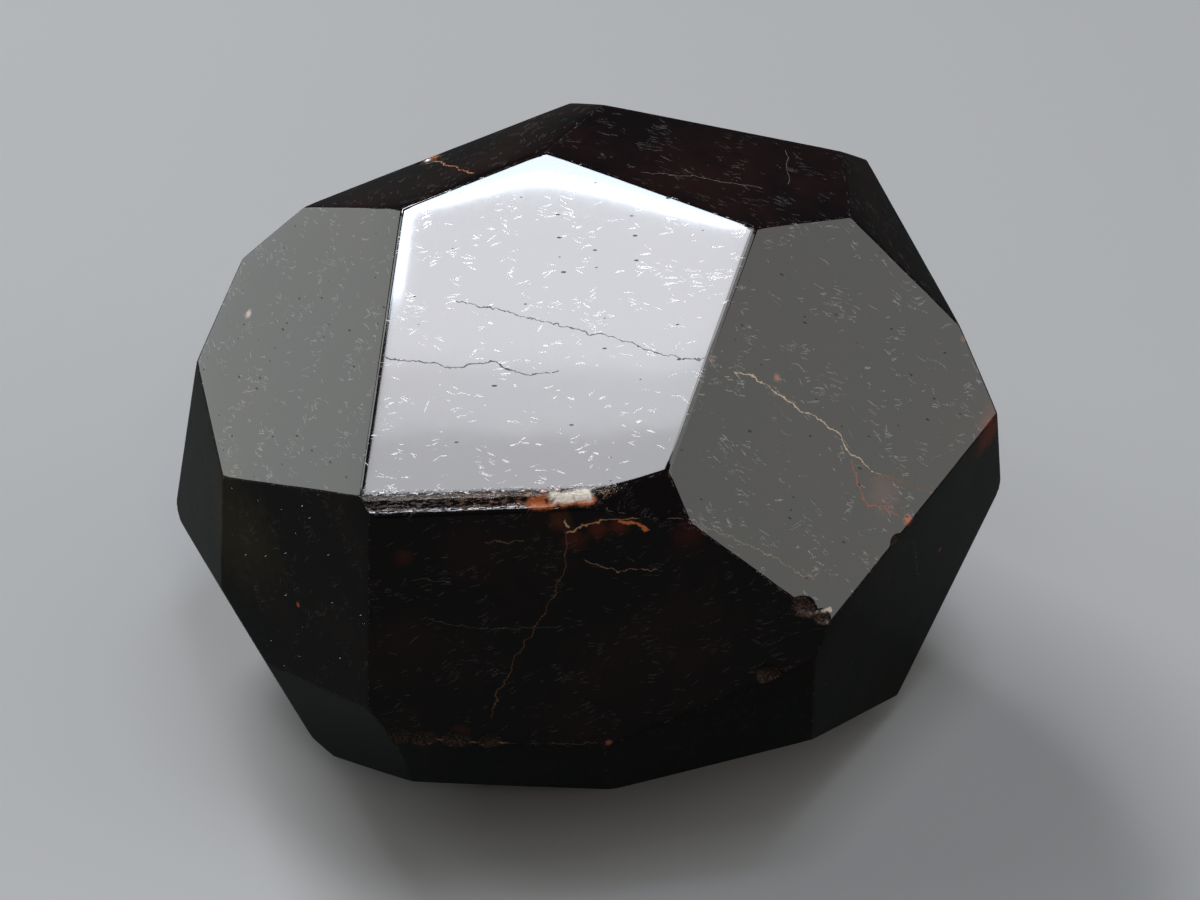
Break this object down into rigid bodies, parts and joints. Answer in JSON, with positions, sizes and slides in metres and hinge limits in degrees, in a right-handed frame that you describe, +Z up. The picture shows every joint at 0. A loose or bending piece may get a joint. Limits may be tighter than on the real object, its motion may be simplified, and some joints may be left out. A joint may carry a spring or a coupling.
{
  "type": "garnet crystal",
  "caption": "Faceted, nearly black red-brown garnet crystal with polished flat faces, resting on one broad face as a display specimen or paperweight.",
  "frame": {"origin": "centre of the bounding box, in the plane of the broad flat face that the crystal rests on", "axes": "+Z up out of the resting face, -Y towards the side with the bright sloping top face and the narrow ledge below it, +X along the longest side"},
  "size_m": [0.054, 0.0493, 0.043],
  "materials": {
    "garnet": "hand-polished, glossy, nearly opaque dark red-brown almandine garnet with fine scratches"
  },
  "bodies": {
    "root": {"garnet_crystal": "garnet"}
  },
  "joints": []
}
